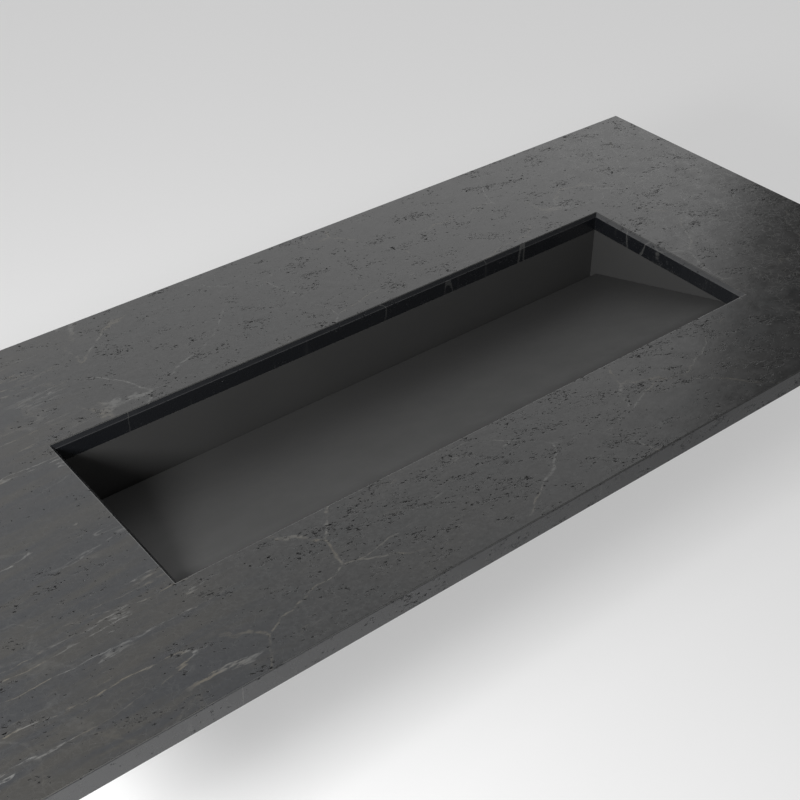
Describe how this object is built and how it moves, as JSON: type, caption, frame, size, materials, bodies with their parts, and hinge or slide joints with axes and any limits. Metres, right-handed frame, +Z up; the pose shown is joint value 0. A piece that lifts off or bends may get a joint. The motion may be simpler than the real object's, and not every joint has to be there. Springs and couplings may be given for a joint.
{
  "type": "bathroom sink",
  "caption": "Rectangular stone washtop with an undermounted trough basin; its sloping floor panel lifts out over a slot-fed gutter, strainer and waste",
  "frame": {"origin": "middle of the lower rear edge of the stone top: the wall plane is Y = 0 and the underside of the stone, which is also the basin's flange plane, is Z = 0", "axes": "X along the length of the basin, Y towards the wall, Z up"},
  "size_m": [1.6, 0.75, 0.272],
  "materials": {
    "stone": "matte",
    "composite": "matte",
    "sealant": "matte",
    "rubber": "matte",
    "stainless": "satin",
    "zinc_steel": "satin",
    "brass": "satin",
    "chrome": "polished",
    "plastic": "matte"
  },
  "bodies": {
    "washtop": {"stone_top": "stone", "rail_rods": "stainless", "bearing_strips": "rubber", "basin_shell": "composite", "flange_sealant": "sealant", "ledge_strip": "rubber", "slab_inserts": "brass", "clip_studs": "zinc_steel", "clip_brackets": "zinc_steel", "clip_washers": "zinc_steel", "clip_wing_nuts": "zinc_steel", "waste_flange": "chrome", "waste_top_seal": "rubber", "waste_bottom_seal": "rubber", "waste_slip_ring": "plastic", "waste_back_nut": "brass", "waste_tailpiece": "chrome"},
    "ramp": {"ramp_panel": "composite", "ramp_feet": "plastic", "ramp_bumpers": "rubber"},
    "strainer": {"strainer_basket": "stainless", "strainer_knob": "chrome"}
  },
  "joints": [
    {"name": "ramp_lift", "type": "slide", "parent": "washtop", "child": "ramp", "axis": [0, 0, 1], "range_m": [0, 0.16]},
    {"name": "strainer_lift", "type": "slide", "parent": "washtop", "child": "strainer", "axis": [0, 0, 1], "range_m": [0, 0.03]}
  ]
}
